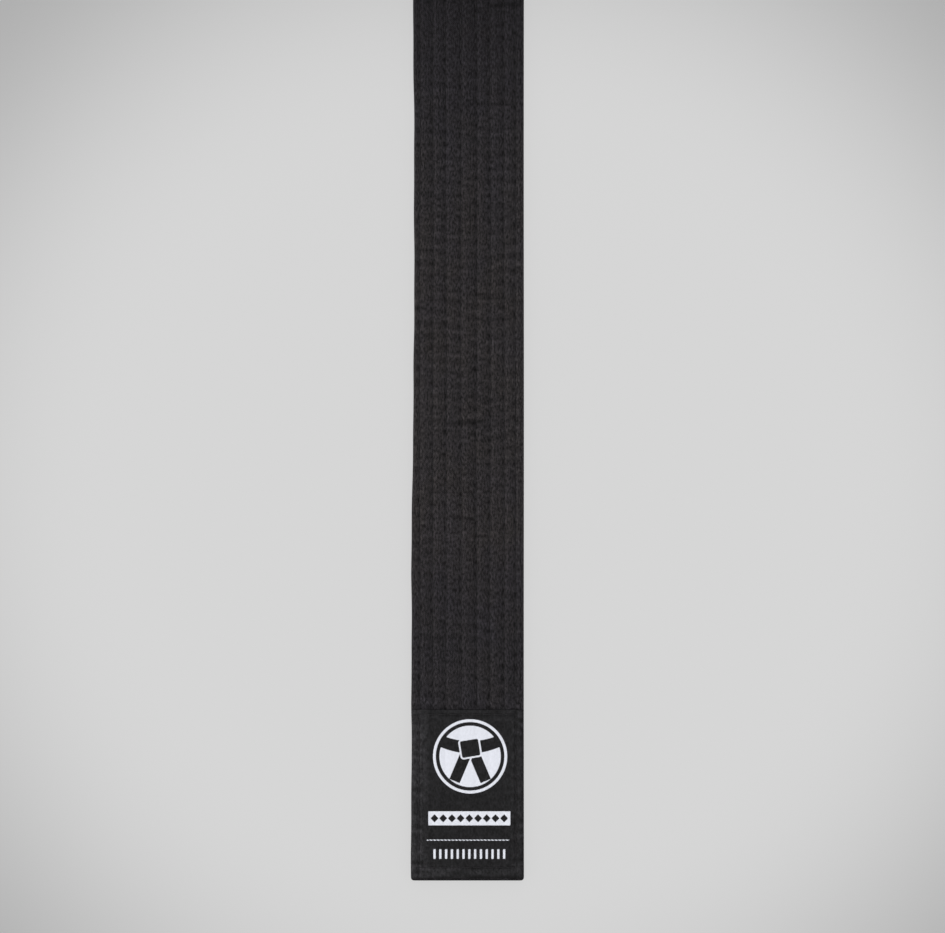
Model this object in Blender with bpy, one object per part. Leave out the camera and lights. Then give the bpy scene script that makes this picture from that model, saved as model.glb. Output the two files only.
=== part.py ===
"""A martial arts belt: its labelled end lies flat, and the rest of its length is wound into a roll.

X runs across the belt, Y along it from the labelled end to the roll, and Z up. The origin is on the
surface that the belt lies on, under the middle of its bounding box.
"""

import math

import bmesh
import bpy
from mathutils import Vector

MM = 0.001

# Belt
BELT_LENGTH = 2800 * MM
BELT_WIDTH = 40 * MM
BELT_THICKNESS = 4.4 * MM
CLEARANCE = 0.2 * MM

# Cover, a cotton strip wrapped round the core, with its turned-in edges meeting at the left side.
# It is in three lengths: the winding, the flat lead beside it, and the free end.
COVER_WALL = 0.6 * MM
COVER_SLIT = 0.4 * MM
COVER_JOIN_GAP = 0.3 * MM
END_FOLD = 2.5 * MM

# Core, plies of interlining that lie loose on each other between the stitch rows
PLY_COUNT = 3

# Stitch rows, each a needle thread on the face and a bobbin thread on the back
ROW_COUNT = 8
ROW_PITCH = 4.9 * MM
ROW_END_MARGIN = 3.5 * MM
THREAD_WIDTH = 0.6 * MM
THREAD_THICKNESS = 0.3 * MM
THREAD_GAP = 0.1 * MM

# Woven label at the free end, and the stitch line round its edge
LABEL_LENGTH = 61 * MM
LABEL_WIDTH = 39.4 * MM
LABEL_THICKNESS = 0.5 * MM
LABEL_LIFT = 0.15 * MM
LABEL_END_INSET = 0.3 * MM
LABEL_STITCH_SIDE = 2.5 * MM
LABEL_STITCH_TOP = 1.2 * MM
LABEL_STITCH_END = 5 * MM

# How the belt is laid out
FREE_END_LENGTH = 304 * MM
LEAD_LENGTH = 80 * MM
WINDING_FOOT = 2 * MM
FLEX_GAP = 0.5 * MM
TURN_GAP = 0.3 * MM
EYE_RADIUS = 14 * MM
STATIONS_PER_TURN = 16

CUTTER_MARGIN = 1 * MM
HALF_THICKNESS = BELT_THICKNESS / 2
STATION_ANGLE = 2 * math.pi / STATIONS_PER_TURN
# The turns lie a clearance apart where they are closest, at the middle of each facet.
TURN_PITCH = (BELT_THICKNESS + TURN_GAP) / math.cos(STATION_ANGLE / 2)


def winding_radius():
    """Radius of the outermost turn's mid-plane, for a spiral that takes up the rolled length."""
    rolled_length = BELT_LENGTH - FREE_END_LENGTH - LEAD_LENGTH
    return math.sqrt(rolled_length * TURN_PITCH / math.pi + EYE_RADIUS**2)


def winding_stations(tangent_y):
    """Mid-plane points of the winding, from where it touches the surface inwards, as (y, z)."""
    outer = winding_radius()
    centre = Vector((tangent_y, HALF_THICKNESS + outer))
    turns = (outer - EYE_RADIUS) / TURN_PITCH
    stations = []
    for step in range(int(turns * STATIONS_PER_TURN) + 1):
        angle = step * STATION_ANGLE
        radius = outer - TURN_PITCH * step / STATIONS_PER_TURN
        stations.append(centre + radius * Vector((math.sin(angle), -math.cos(angle))))
    return stations


def roll_reach():
    """How far the roll extends past the point where it touches the surface."""
    quarter_turn = winding_radius() - TURN_PITCH / 4
    return quarter_turn + HALF_THICKNESS / math.cos(STATION_ANGLE / 2)


TANGENT_Y = (FREE_END_LENGTH + LEAD_LENGTH - roll_reach()) / 2
FLEX_Y = TANGENT_Y - LEAD_LENGTH
END_Y = FLEX_Y - FREE_END_LENGTH
FREE_END_STOP_Y = FLEX_Y - FLEX_GAP / 2
LEAD_START_Y = FLEX_Y + FLEX_GAP / 2
WINDING_START_Y = TANGENT_Y - WINDING_FOOT
LEAD_STOP_Y = WINDING_START_Y - COVER_JOIN_GAP


def flat_path(start_y, stop_y):
    """Mid-plane of a length that lies flat."""
    return [Vector((start_y, HALF_THICKNESS)), Vector((stop_y, HALF_THICKNESS))]


def winding_path(start_y):
    """Mid-plane from a place on the flat length to the belt's inner end."""
    return [Vector((start_y, HALF_THICKNESS))] + winding_stations(TANGENT_Y)


def trimmed(path, at_start, at_stop):
    """The path with each end moved inwards along its last run, or outwards if negative."""
    path = list(path)
    first_run = (path[1] - path[0]).normalized()
    last_run = (path[-2] - path[-1]).normalized()
    path[0] = path[0] + first_run * at_start
    path[-1] = path[-1] + last_run * at_stop
    return path


def left_normal(start, end):
    along = (end - start).normalized()
    return Vector((-along.y, along.x))


def offset_path(path, distance):
    """The path moved sideways by distance, mitred so that each facet keeps its distance."""
    runs = [left_normal(path[i], path[i + 1]) for i in range(len(path) - 1)]
    moved = []
    for i, point in enumerate(path):
        before = runs[max(i - 1, 0)]
        after = runs[min(i, len(runs) - 1)]
        mitre = (before + after) / (1 + before.dot(after))
        moved.append(point + mitre * distance)
    return moved


def new_collection(name):
    collection = bpy.data.collections.new(name)
    bpy.context.scene.collection.children.link(collection)
    return collection


def new_material(name, colour, roughness):
    material = bpy.data.materials.new(name)
    material.use_nodes = True
    shader = material.node_tree.nodes["Principled BSDF"]
    shader.inputs["Base Color"].default_value = (*colour, 1)
    shader.inputs["Roughness"].default_value = roughness
    shader.inputs["Metallic"].default_value = 0
    return material


def strip(name, path, low, high, x_range, collection):
    """A band that follows the path, from low to high off its mid-plane and across x_range."""
    outline = offset_path(path, low) + offset_path(path, high)[::-1]
    curve = bpy.data.curves.new(name, "CURVE")
    curve.dimensions = "2D"
    curve.fill_mode = "BOTH"
    curve.extrude = (x_range[1] - x_range[0]) / 2
    spline = curve.splines.new("POLY")
    spline.points.add(len(outline) - 1)
    for point, place in zip(spline.points, outline):
        point.co = (place.x, place.y, 0, 1)
    spline.use_cyclic_u = True
    guide = bpy.data.objects.new(name, curve)
    # The outline's plane stands upright along the belt, and its depth runs across the belt.
    guide.rotation_euler = (math.pi / 2, 0, math.pi / 2)
    guide.location.x = sum(x_range) / 2
    collection.objects.link(guide)
    solid = curve_to_mesh(guide, collection)
    solid.name = name
    return solid


def curve_to_mesh(guide, collection):
    """Replaces a curve object with a mesh object whose caps are welded on."""
    bpy.context.view_layer.update()
    graph = bpy.context.evaluated_depsgraph_get()
    mesh = bpy.data.meshes.new_from_object(guide.evaluated_get(graph))
    shape = bmesh.new()
    shape.from_mesh(mesh)
    bmesh.ops.remove_doubles(shape, verts=shape.verts, dist=0.001 * MM)
    bmesh.ops.recalc_face_normals(shape, faces=shape.faces)
    shape.to_mesh(mesh)
    shape.free()
    solid = bpy.data.objects.new("solid", mesh)
    solid.matrix_world = guide.matrix_world
    collection.objects.link(solid)
    bpy.data.objects.remove(guide)
    return solid


def add_block(shape, low, high):
    """Adds a box between two corners to a bmesh."""
    corners = bmesh.ops.create_cube(shape, size=1)["verts"]
    size = Vector(high) - Vector(low)
    bmesh.ops.scale(shape, vec=size, verts=corners)
    bmesh.ops.translate(shape, vec=(Vector(high) + Vector(low)) / 2, verts=corners)


def blocks(name, corner_pairs, collection):
    """One object that holds a box for each pair of corners."""
    shape = bmesh.new()
    for low, high in corner_pairs:
        add_block(shape, low, high)
    mesh = bpy.data.meshes.new(name)
    shape.to_mesh(mesh)
    shape.free()
    solid = bpy.data.objects.new(name, mesh)
    collection.objects.link(solid)
    return solid


def cut(solid, cutter):
    cutter.hide_render = True
    cutter.display_type = "WIRE"
    modifier = solid.modifiers.new(cutter.name, "BOOLEAN")
    modifier.operation = "DIFFERENCE"
    modifier.solver = "EXACT"
    modifier.object = cutter


def row_places():
    """Where each stitch row lies across the belt."""
    middle = (ROW_COUNT - 1) / 2
    return [(row - middle) * ROW_PITCH for row in range(ROW_COUNT)]


def make_cover(name, path, closed_start, closed_stop, parts, cutters):
    """A length of cover with the core's space inside it, open along the turned-in edges.

    A closed end keeps its end fold, and an open end carries on into the next length.
    """
    inner = HALF_THICKNESS - COVER_WALL
    half_width = BELT_WIDTH / 2
    outside = (-half_width, half_width)
    inside = (-half_width + COVER_WALL, half_width - COVER_WALL)
    slit_side = (-half_width - CUTTER_MARGIN, -half_width + 2 * COVER_WALL)
    trims = [END_FOLD if closed else -CUTTER_MARGIN for closed in (closed_start, closed_stop)]
    space_path = trimmed(path, *trims)
    slit_path = trimmed(space_path, *[CUTTER_MARGIN if trim > 0 else 0 for trim in trims])
    cover = strip(name, path, -HALF_THICKNESS, HALF_THICKNESS, outside, parts)
    space = strip(name + "_space", space_path, -inner, inner, inside, cutters)
    slit = strip(name + "_slit", slit_path, -COVER_SLIT / 2, COVER_SLIT / 2, slit_side, cutters)
    cut(cover, space)
    cut(cover, slit)
    return cover


def make_plies(prefix, path, parts):
    """The core's plies, evenly spaced in the cover and a clearance apart."""
    space = BELT_THICKNESS - 2 * COVER_WALL
    ply = (space - (PLY_COUNT + 1) * CLEARANCE) / PLY_COUNT
    edge = BELT_WIDTH / 2 - COVER_WALL - CLEARANCE
    plies = []
    for number in range(PLY_COUNT):
        low = -space / 2 + CLEARANCE + number * (ply + CLEARANCE)
        name = f"{prefix}_core_ply_{number + 1}"
        plies.append(strip(name, path, low, low + ply, (-edge, edge), parts))
    return plies


def make_grooves(name, start_y, stop_y, cutters):
    """Cutters for the shallow grooves that the stitch rows pull into both faces."""
    depth = THREAD_THICKNESS + THREAD_GAP
    half_width = THREAD_WIDTH / 2 + THREAD_GAP
    levels = [
        (BELT_THICKNESS - depth, BELT_THICKNESS + CUTTER_MARGIN),
        (-CUTTER_MARGIN, depth),
    ]
    pairs = []
    for x in row_places():
        for low_z, high_z in levels:
            pairs.append(((x - half_width, start_y, low_z), (x + half_width, stop_y, high_z)))
    return blocks(name, pairs, cutters)


def make_threads(prefix, start_y, stop_y, parts):
    """The eight rows' needle threads in the face and bobbin threads in the back."""
    half_width = THREAD_WIDTH / 2
    levels = {
        "needle_thread": (BELT_THICKNESS - THREAD_THICKNESS, BELT_THICKNESS),
        "bobbin_thread": (0, THREAD_THICKNESS),
    }
    threads = []
    for kind, (low_z, high_z) in levels.items():
        for number, x in enumerate(row_places()):
            corners = ((x - half_width, start_y, low_z), (x + half_width, stop_y, high_z))
            threads.append(blocks(f"{prefix}_{kind}_{number + 1}", [corners], parts))
    return threads


def make_label(parts):
    low_z = BELT_THICKNESS + LABEL_LIFT
    start_y = END_Y + LABEL_END_INSET
    low = (-LABEL_WIDTH / 2, start_y, low_z)
    high = (LABEL_WIDTH / 2, start_y + LABEL_LENGTH, low_z + LABEL_THICKNESS)
    return blocks("woven_label", [(low, high)], parts)


def make_label_stitching(parts, cutters):
    """One closed line of stitches round the label, which also closes the cover's end under it."""
    low_z = BELT_THICKNESS + LABEL_LIFT + LABEL_THICKNESS + THREAD_GAP
    side = BELT_WIDTH / 2 - LABEL_STITCH_SIDE
    start_y = END_Y + LABEL_STITCH_END
    stop_y = END_Y + LABEL_END_INSET + LABEL_LENGTH - LABEL_STITCH_TOP
    low = Vector((-side, start_y, low_z))
    high = Vector((side, stop_y, low_z + THREAD_THICKNESS))
    ring = blocks("label_stitching", [(low, high)], parts)
    inset = Vector((THREAD_WIDTH, THREAD_WIDTH, -CUTTER_MARGIN))
    cut(ring, blocks("label_stitching_window", [(low + inset, high - inset)], cutters))
    return ring


def make_inner_end_seam(parts):
    """The stitch line that closes the cover at the belt's inner end, on the side facing the eye."""
    path = winding_stations(TANGENT_Y)
    along = (path[-2] - path[-1]).normalized()
    lift = HALF_THICKNESS + THREAD_GAP + THREAD_THICKNESS / 2
    place = path[-1] + along * END_FOLD + left_normal(path[-2], path[-1]) * lift
    half = Vector((BELT_WIDTH / 2 - LABEL_STITCH_SIDE, THREAD_WIDTH / 2, THREAD_THICKNESS / 2))
    seam = blocks("inner_end_seam", [(-half, half)], parts)
    seam.rotation_euler.x = math.atan2(along.y, along.x)
    seam.location = (0, place.x, place.y)
    return seam


def paint(solids, material):
    for solid in solids:
        solid.data.materials.clear()
        solid.data.materials.append(material)


def hang_on_flex_line(solids, parts):
    """Parents the free end to an empty on the line that it flexes about, at the belt's face."""
    flex_line = bpy.data.objects.new("free_end_flex_line", None)
    flex_line.location = (0, FLEX_Y, BELT_THICKNESS)
    parts.objects.link(flex_line)
    bpy.context.view_layer.update()
    for solid in solids:
        solid.parent = flex_line
        solid.matrix_parent_inverse = flex_line.matrix_world.inverted()


def main():
    for leftover in list(bpy.data.objects):
        bpy.data.objects.remove(leftover, do_unlink=True)
    parts = new_collection("martial_arts_belt")
    cutters = new_collection("cutters")
    cotton = new_material("black_cotton", (0.018, 0.016, 0.017), 0.9)
    interlining = new_material("natural_interlining", (0.62, 0.57, 0.47), 0.95)
    thread = new_material("black_thread", (0.012, 0.011, 0.012), 0.55)
    satin = new_material("black_label_satin", (0.014, 0.014, 0.015), 0.6)

    free_path = flat_path(END_Y, FREE_END_STOP_Y)
    lead_path = flat_path(LEAD_START_Y, LEAD_STOP_Y)
    roll_path = winding_path(WINDING_START_Y)
    free_cover = make_cover("free_end_cover", free_path, True, False, parts, cutters)
    lead_cover = make_cover("lead_cover", lead_path, False, False, parts, cutters)
    rolled_cover = make_cover("rolled_cover", roll_path, False, True, parts, cutters)
    rows_start_y = END_Y + ROW_END_MARGIN
    free_span = (rows_start_y - THREAD_GAP, FREE_END_STOP_Y + FLEX_GAP / 4)
    lead_span = (LEAD_START_Y - FLEX_GAP / 4, LEAD_STOP_Y + COVER_JOIN_GAP / 2)
    cut(free_cover, make_grooves("free_end_grooves", *free_span, cutters))
    cut(lead_cover, make_grooves("lead_grooves", *lead_span, cutters))
    paint([rolled_cover, lead_cover, free_cover], cotton)

    ply_end = END_FOLD + CLEARANCE
    rolled_plies = make_plies("rolled", trimmed(winding_path(LEAD_START_Y), 0, ply_end), parts)
    free_plies = make_plies("free_end", trimmed(free_path, ply_end, 0), parts)
    paint(rolled_plies + free_plies, interlining)

    free_threads = make_threads("free_end", rows_start_y, FREE_END_STOP_Y, parts)
    lead_threads = make_threads("lead", LEAD_START_Y, LEAD_STOP_Y, parts)
    label_stitching = make_label_stitching(parts, cutters)
    inner_seam = make_inner_end_seam(parts)
    paint(free_threads + lead_threads + [label_stitching, inner_seam], thread)

    label = make_label(parts)
    paint([label], satin)

    hang_on_flex_line([free_cover, label, label_stitching] + free_plies + free_threads, parts)


main()
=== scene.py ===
"""Looks of the martial arts belt: its quilted cover, core, threads, label, floor, lights and camera.

Lengths along the belt, called s, run in millimetres from its labelled end. Across the belt, u runs in
millimetres from the middle line. Heights, called n, run in millimetres from the middle of its thickness
towards its face. The function place turns all three into metres in the row frame. Sizes are in millimetres
except on the stage.
"""

import math

import bpy
import numpy as np
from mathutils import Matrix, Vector


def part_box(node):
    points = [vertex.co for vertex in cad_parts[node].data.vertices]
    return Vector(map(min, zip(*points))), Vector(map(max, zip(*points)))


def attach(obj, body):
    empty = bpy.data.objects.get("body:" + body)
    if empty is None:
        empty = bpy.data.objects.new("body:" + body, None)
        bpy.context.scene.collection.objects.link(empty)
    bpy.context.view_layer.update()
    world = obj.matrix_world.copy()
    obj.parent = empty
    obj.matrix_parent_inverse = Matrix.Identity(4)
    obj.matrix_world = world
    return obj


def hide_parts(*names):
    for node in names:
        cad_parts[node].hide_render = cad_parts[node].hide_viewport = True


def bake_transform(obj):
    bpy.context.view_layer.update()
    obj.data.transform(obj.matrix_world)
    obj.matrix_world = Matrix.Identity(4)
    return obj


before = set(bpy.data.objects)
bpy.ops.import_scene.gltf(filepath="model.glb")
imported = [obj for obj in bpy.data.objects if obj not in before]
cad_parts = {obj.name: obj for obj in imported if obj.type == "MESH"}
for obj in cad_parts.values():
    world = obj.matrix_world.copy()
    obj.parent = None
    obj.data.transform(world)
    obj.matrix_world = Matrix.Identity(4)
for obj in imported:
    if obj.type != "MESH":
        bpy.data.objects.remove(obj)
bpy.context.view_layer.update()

MM = 0.001

# Lengths of the belt
LENGTH = 2800.0
FREE_END_LENGTH = 304.0
LEAD_LENGTH = 80.0
LEAD_END = FREE_END_LENGTH + LEAD_LENGTH
HALF_THICKNESS = 2.2

# Length that bends on either side of the flex line
BEND_ON_LEAD = 9.0
BEND_ON_FREE_END = 13.0

# Roll. The solids' turns have flat facets, whose middles are FLAT_PITCH apart. The turns here are round, and
# as far apart as the corners of the facets.
EYE_RADIUS = 14.0
FLAT_PITCH = 4.7
TURN_FACETS = 16
TURN_PITCH = FLAT_PITCH / math.cos(math.pi / TURN_FACETS)
ROLL_RADIUS = math.sqrt((LENGTH - LEAD_END) * TURN_PITCH / math.pi + EYE_RADIUS**2)
SPIRAL = TURN_PITCH / (2 * math.pi)
# Length over which the belt goes from lying uneven on the surface to lying even in the roll
SETTLE = 60.0
MOST_LIFT = 0.22
# The belt swells in the roll, where nothing has pressed it
SWELL_START = LEAD_END + 30.0
SWELL = 0.2

# Cover, of one strip of cloth
WALL = 0.5
# Its ends are rounded down to a share of the belt's height and folded in, and their corners are rounded
END_ROUND = 1.5
END_LEAST = 0.13
END_FOLD = 3.0
CORNER_ROUND = 1.1
# Half of the least opening inside it
SLIT = 0.04
# How far inside the left side its two edges meet, and half of the opening between them
SEAM_INSET = 0.14
SEAM_LIP = 0.012
# How much paler than the face beside it the fold on the right side is painted: partly wear, partly painted
# light on a fold that faces away from the side light
RIGHT_FOLD_LIGHT_AND_WEAR = 0.34
# Where its lengths meet, and how far apart their sections are
FLAT_STOP = 400.0
OUTER_TURN_STOP = 769.0
FINE_SPACING = 0.74
COARSE_SPACING = 2.6
# Distances from an end of the belt that have a section of their own
END_STATIONS = np.array([0.0, 0.08, 0.2, 0.42, 0.75, 1.15, 1.5, 2.1, 3.0])
# Reach to the left and right of a section that isn't squeezed, of its face between the rounded sides, and of
# the inside of its cover
FULL_LEFT = 20.35
FULL_RIGHT = 20.05
FACE_LEFT = 19.35
FACE_RIGHT = 19.1
LINING_LEFT = 18.6
LINING_RIGHT = 18.3
# Where the face starts to fall towards the rounded sides, over which width and how far
SHOULDER = 17.6
SHOULDER_WIDTH = 1.9
SHOULDER_FALL = 0.22

# Stitch rows
# Place across, stitch length and first stitch of each row. The three rows on either side of the middle
# are each sewn at once by three needles side by side.
ROWS = (-17.4, -12.7, -8.0, -2.6, 2.95, 7.8, 12.85, 17.0)
STITCHES = (5.3, 4.3, 4.3, 4.3, 4.6, 4.6, 4.6, 5.3)
STARTS = (-1.0, -2.0, -2.2, -3.1, -0.5, -2.3, -1.2, -3.4)
NEEDLE_HEADS = (0, 1, 1, 1, 2, 2, 2, 3)
# How deep the groove of each row is; the last value is for the belt's right side
GROOVES = (0.62, 0.72, 0.74, 0.74, 1.15, 1.0, 0.9, 0.74, 0.9)
CHANNEL_COUNT = len(ROWS) + 1
# Least distance of a row's first and last stitch from the belt's ends
ROW_INSET = 3.2
THREAD_RADIUS = 0.16
THREAD_SIDES = 6
# How far the middle of a thread stands off the cloth between its holes, and how far down it goes at a hole
ROW_THREAD_LIFT = 0.02
SEAM_THREAD_LIFT = 0.03
THREAD_DIP = 0.62
THREAD_DIP_LENGTH = 0.5

# Quilted channels: each falls steeply beside the row on its left, and gently towards the row on its right.
# The steep side's width and the gentle side's start are shares of the channel's width.
STEEP_FALL = 0.34
STEEP_WIDTH = 0.36
STEEP_POWER = 1.8
GENTLE_FALL = 0.19
GENTLE_START = 0.3
GENTLE_POWER = 1.1
# The outer channels would end this far from the middle line, beyond the belt's sides
CHANNEL_END = 21.5
PUCKER_END = 22.0

# Puckers: height of the random ones, height and reach of the ripple that the stitches gather, and size of
# the pit at each needle hole
LONG_PUCKER = 0.015
CHANNEL_PUCKER = 0.012
RIPPLE = 0.075
RIPPLE_REACH = 2.8
PIT_DEPTH = 0.28
PIT_WIDTH = 0.33
PIT_LENGTH = 1.3
BROAD_WAVE = 0.05

# Core
PLY_COUNT = 3
PLY_WIDTH = 38.4
PLY_END = 2.5
PLY_CLEARANCE = 0.12
# Share of its width that a ply takes up in the cover, and shares of the room that the plies fill together
# and leave free above and below each
PLY_FIT = 0.985
PLY_FILL = 0.96
PLY_GAP = 0.02

# Label
LABEL_HALF_WIDTH = 19.9
LABEL_START = 1.15
LABEL_STOP = 61.6
LABEL_THICKNESS = 0.34
LABEL_CLEARANCE = 0.02
# The hem is where the turned-in edge makes the label thicker
LABEL_HEM = 0.13
HEM_WIDTH = 4.2
HEM_SLOPE = 0.8
LABEL_STITCH_SIDE = 17.4
LABEL_STITCH_START = 5.0
LABEL_STITCH_STOP = 59.9
LABEL_STITCH = 4.0
END_SEAM_INSET = 5.0

# How far its left hem has been rubbed at some places along the belt
RUBBED_AT = (0, 12, 20, 27, 35, 61)
RUBBED = (0.75, 0.8, 0.5, 0.55, 1.05, 0.9)

# Pattern of the label. Its diamonds and bars are spaced in whole steps of the label's mesh, so that all
# come out alike.
LABEL_GRID = 0.26
GRID_MARGIN = 0.5
PATTERN_MIDDLE = GRID_MARGIN - LABEL_HALF_WIDTH + 77 * LABEL_GRID
DIAMOND_PITCH = 12 * LABEL_GRID
BAR_PITCH = 8 * LABEL_GRID
DIAMOND_COUNT = 9
BAR_COUNT = 13
DIAMOND_HALF = 1.45
BAR_HALVES = (0.4, 1.7)
BANNER_HALVES = (14.6, 2.4)
BANNER_ROUND = 0.1
DASHES_HALF_WIDTH = 14.8
DASH_PITCH = 1.3
EMBLEM_U, EMBLEM_S = 0.9, 44.8
BANNER_S = 22.6
DASHES_U, DASHES_S = 0.2, 14.8
BARS_S = 9.8

# Emblem of the label, about its own middle
RING_OUTER = 13.3
RING_INNER = 12.3
DISC_RADIUS = 11.0
BAND_HALF_WIDTH = 2.2
BAND_Y = 3.3
BAND_CURVE = 0.02
KNOT_Y = 2.9
KNOT_HALVES = (2.7, 2.4)
KNOT_ROUND = 0.6
KNOT_GAP = 0.6
KNOT_TURN = 0.16
TAIL_X, TAIL_Y = 3.3, -3.4
TAIL_HALVES = (2.0, 5.9)
TAIL_TURN = 0.4
TAIL_GAP = 0.55

# Stage, in metres
FLOOR_REACH = 60.0
POOL_HEIGHT = 3.0
POOL_RADIUS = 0.26
TOP_HEIGHT = 4.0
CAMERA_HEIGHT = 1.134
CAMERA_X = 0.00175

END_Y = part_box("free_end_cover")[0].y / MM
# Middle of the length that the camera sees
VIEWED_Y = END_Y + 148.7

random = np.random.RandomState(7)


def ramp(x, start, length):
    """Rises from 0 at a start to 1 a length further on."""
    return np.clip((x - start) / length, 0, 1)


def bell(x, width):
    """A bell curve that is 1 at 0."""
    return np.exp(-((x / width) ** 2))


# ---------------------------------------------------------------- where the belt runs


def lift(s):
    """How far the flat length stands off the surface, where it lies a little uneven."""
    wave = 0.5 + 0.28 * np.sin(s / 23.0 + 0.4) + 0.22 * np.sin(s / 11.0 + 2.2)
    return MOST_LIFT * wave * ramp(LEAD_END - s, 0.0, SETTLE)


def drift(s):
    """How far the turns of the roll stand out sideways from each other."""
    turned = np.clip((s - LEAD_END) / SETTLE, 0, None)
    return ramp(turned, 0.0, 3.0) * (0.35 * np.sin(turned * 0.83) + 0.25 * np.sin(turned * 0.31 + 1.0))


def middle(s):
    """Mid-plane points and face normals of the belt at lengths s, each as (y, z)."""
    wound = np.clip(s - LEAD_END, 0, None)
    angle = (ROLL_RADIUS - np.sqrt(ROLL_RADIUS**2 - 2 * SPIRAL * wound)) / SPIRAL
    radius = ROLL_RADIUS - SPIRAL * angle
    y = END_Y + np.minimum(s, LEAD_END) + radius * np.sin(angle)
    z = HALF_THICKNESS + lift(s) + ROLL_RADIUS - radius * np.cos(angle)
    return y, z, -np.sin(angle), np.cos(angle)


def place(s, u, n):
    """Points in the row frame, in metres, for lengths s, places across u and heights n."""
    s, u, n = np.broadcast_arrays(s, u, n)
    y, z, normal_y, normal_z = middle(s)
    return np.stack([u + drift(s), y + n * normal_y, z + n * normal_z], -1) * MM


# ---------------------------------------------------------------- the belt's surface


def waves(count, shortest, longest, tilt):
    """Random waves along the belt: wave numbers along and across, and phases."""
    lengths = np.exp(random.uniform(math.log(shortest), math.log(longest), count))
    return 2 * math.pi / lengths, random.uniform(-tilt, tilt, count), random.uniform(0, 7, count)


def wave_sum(s, u, family):
    """Sum of a family of waves, with a root mean square of about 1."""
    heights = np.zeros(np.broadcast(s, u).shape)
    for along, across, phase in zip(*family):
        heights += np.cos(along * s + across * u + phase)
    return heights * math.sqrt(2.0 / len(family[0]))


# Waves of each channel, first those of the face and then those of the back; and two families of waves over
# the whole width, for the face and for the back
CHANNEL_WAVES = [waves(10, 2.4, 7.0, 0.6) for _ in range(2 * CHANNEL_COUNT)]
LONG_WAVES = [waves(22, 3.0, 11.0, 0.13) for _ in range(2)]
BROAD_WAVES = [waves(10, 18.0, 90.0, 0.16) for _ in range(2)]
# How far each stitch of each head of needles is off its even place
HEAD_SLIPS = [random.uniform(-0.2, 0.2, 700) for _ in range(4)]


def needle_holes(row):
    """Places along the belt where the needle of a row went through."""
    count = int(LENGTH / STITCHES[row]) + 4
    slips = HEAD_SLIPS[NEEDLE_HEADS[row]][:count] + random.uniform(-0.09, 0.09, count)
    return STARTS[row] + np.arange(count) * STITCHES[row] + slips


HOLES = [needle_holes(row) for row in range(len(ROWS))]
# How hard each stitch pulls the cloth down at its needle hole
PULLS = [random.uniform(0.1, 1.2, len(holes)) for holes in HOLES]

# Tone of the black at some places along the belt, 1 being the most common: it has faded a little unevenly, it
# is darker from 275 mm to 400 mm and most at 318 mm, and painted shade darkens the first 2.6 mm at the folded
# end.
FADE_AND_SHADE_AT = (0, 1.3, 2.6, 96, 125, 205, 235, 275, 305, 318, 400, 470)
FADE_AND_SHADE = (0.45, 0.55, 0.86, 0.87, 1.02, 1.02, 0.98, 0.86, 0.7, 0.6, 0.85, 1.0)

# How far the less even, left side of the belt reaches at some places along it, and how far the right side
LEFT_REACH_AT = (0, 45, 55, 64, 80, 110, 165, 198, 270, 285, 420)
LEFT_REACH = (20.35, 20.25, 20.1, 20.25, 20.1, 20.3, 19.6, 19.25, 19.25, 19.45, 19.9)
RIGHT_REACH = 20.2

# Creases across the face: length along the belt, from u, to u, slant, depth
CREASES = [
    (164.0, -8.0, 6.0, 0.06, 0.28),
    (131.0, -6.0, 3.0, -0.12, 0.26),
    (314.0, 8.0, 19.0, 0.05, 0.42),
    (201.0, 3.0, 12.5, 0.1, 0.16),
    (246.0, -17.0, -8.5, -0.08, 0.2),
    (278.0, -2.6, 7.5, 0.14, 0.18),
    (103.0, 8.0, 17.0, -0.05, 0.16),
    (87.0, -16.0, -3.0, 0.05, 0.15),
    (356.0, -12.0, 2.0, 0.03, 0.2),
    (520.0, -14.0, 1.0, 0.08, 0.2),
    (660.0, 2.0, 16.0, -0.06, 0.2),
]
CREASE_WIDTH = 0.75
# Each crease has a low lip beside it: its share of the depth, its distance and its width
CREASE_LIP = (0.4, 1.9, 1.0)


def row_place(row, s):
    """Where a stitch row runs across the belt."""
    return ROWS[row] + 0.13 * np.sin(s / 37.0 + 1.7 * row) + 0.07 * np.sin(s / 13.0 + 2.9 * row)


def row_places(s):
    """Where each stitch row runs across the belt."""
    return [row_place(row, s) for row in range(len(ROWS))]


def channels(edges, beyond):
    """Left and right side of each channel; the outer two channels end at a distance from the middle."""
    return zip([-beyond, *edges], [*edges, beyond])


def stitch_phase(row, s):
    """How many stitches into its row a length is; it is a whole number at each needle hole."""
    return np.interp(s, HOLES[row], np.arange(len(HOLES[row])))


def half_widths(s):
    """How far the belt reaches to its left and right of the middle line."""
    base = np.interp(s, LEFT_REACH_AT, LEFT_REACH)
    left = base + 0.07 * np.sin(s / 9.3 + 0.3) + 0.05 * np.sin(s / 4.1)
    right = RIGHT_REACH + 0.03 * np.sin(s / 29.0 + 2.0)
    near_end = np.clip(np.minimum(s, LENGTH - s), 0, CORNER_ROUND)
    inset = CORNER_ROUND - np.sqrt(CORNER_ROUND**2 - (CORNER_ROUND - near_end) ** 2)
    return left - inset, right - inset


def end_share(s):
    """Share of its height that the cover still has close to either end, where it is folded in."""
    near = ramp(np.minimum(s, LENGTH - s), 0.0, END_ROUND)
    return END_LEAST + (1 - END_LEAST) * np.sqrt(1 - (1 - near) ** 2)


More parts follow.
